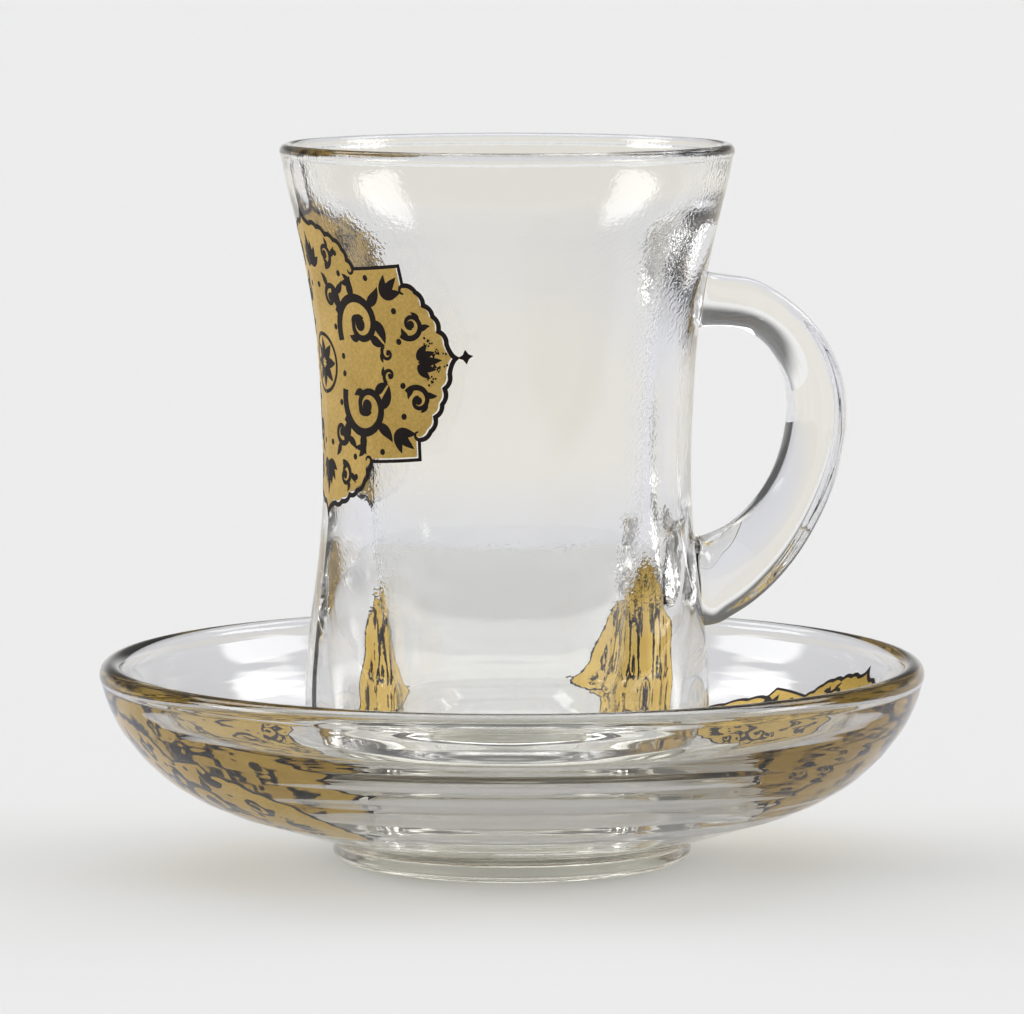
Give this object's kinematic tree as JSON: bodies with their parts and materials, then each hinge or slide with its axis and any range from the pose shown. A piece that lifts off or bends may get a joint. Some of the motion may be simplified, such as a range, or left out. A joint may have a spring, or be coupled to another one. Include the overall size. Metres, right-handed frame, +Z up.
{
  "type": "turkish tea glass",
  "caption": "Clear pressed glass tea mug with a flared rim, waisted body and loop handle, in a shallow glass saucer on a ring foot, with gold and black ornamental prints.",
  "frame": {"origin": "on the table plane, on the saucer's axis", "axes": "+Z up; +X towards the handle; +Y completes the right-handed frame"},
  "size_m": [0.1152, 0.1152, 0.0998],
  "materials": {
    "cup_glass": "clear pressed glass, fire polished",
    "saucer_glass": "clear pressed glass, fire polished",
    "gold_print": "fired gold enamel print, satin",
    "dark_print": "fired black-brown enamel print, satin"
  },
  "bodies": {
    "root": {"cup": "cup_glass", "saucer": "saucer_glass"}
  },
  "joints": []
}
